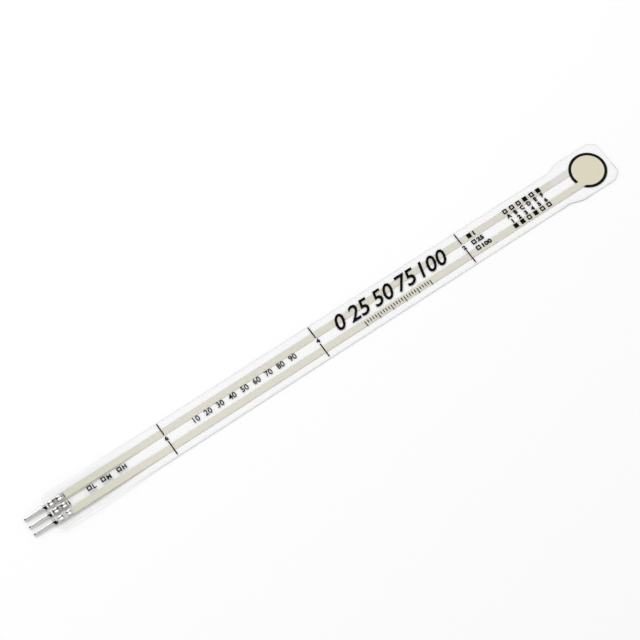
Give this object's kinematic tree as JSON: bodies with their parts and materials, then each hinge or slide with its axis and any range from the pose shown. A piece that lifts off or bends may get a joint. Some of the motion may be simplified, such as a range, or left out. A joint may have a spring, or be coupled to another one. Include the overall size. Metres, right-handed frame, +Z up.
{
  "type": "force sensing resistor",
  "caption": "Long clear thin-film force sensor strip with a wider sensing head, silver traces and square crimped pins at its tail.",
  "frame": {"origin": "on the underside of the bottom film, below the centre of the round sensing area", "axes": "+X along the strip from the tail's pins towards the sensing head, +Y across the strip towards the trace on the bottom film, +Z up out of the printed face"},
  "size_m": [0.1974, 0.014, 0.0011],
  "materials": {
    "clear_film": "clear polyester film with a light haze",
    "adhesive": "clear pressure-sensitive adhesive",
    "silver_ink": "silver-filled polymer ink, satin",
    "force_ink": "black carbon-filled ink",
    "tinned_metal": "bright tin plating on phosphor bronze sheet",
    "print_ink": "black screen print"
  },
  "bodies": {
    "root": {"bottom_film": "clear_film", "lower_conductor": "silver_ink", "lower_force_ink": "force_ink", "adhesive_spacer": "adhesive", "upper_force_ink": "force_ink", "upper_conductor": "silver_ink", "top_film": "clear_film", "left_contact": "tinned_metal", "centre_contact": "tinned_metal", "right_contact": "tinned_metal", "trim_mark_1_upper": "print_ink", "trim_mark_1_lower": "print_ink", "trim_mark_2_upper": "print_ink", "trim_mark_2_lower": "print_ink", "trim_mark_3_upper": "print_ink", "trim_mark_3_lower": "print_ink", "code_box_a": "print_ink", "code_box_b": "print_ink", "code_box_c": "print_ink", "code_box_d": "print_ink", "code_box_e": "print_ink", "code_box_f": "print_ink", "code_box_1": "print_ink", "code_box_2": "print_ink", "code_box_3": "print_ink", "code_box_4": "print_ink", "code_box_5": "print_ink", "code_box_6": "print_ink", "range_box_low": "print_ink", "range_box_middle": "print_ink", "range_box_high": "print_ink", "grade_box_low": "print_ink", "grade_box_middle": "print_ink", "grade_box_high": "print_ink"}
  },
  "joints": []
}
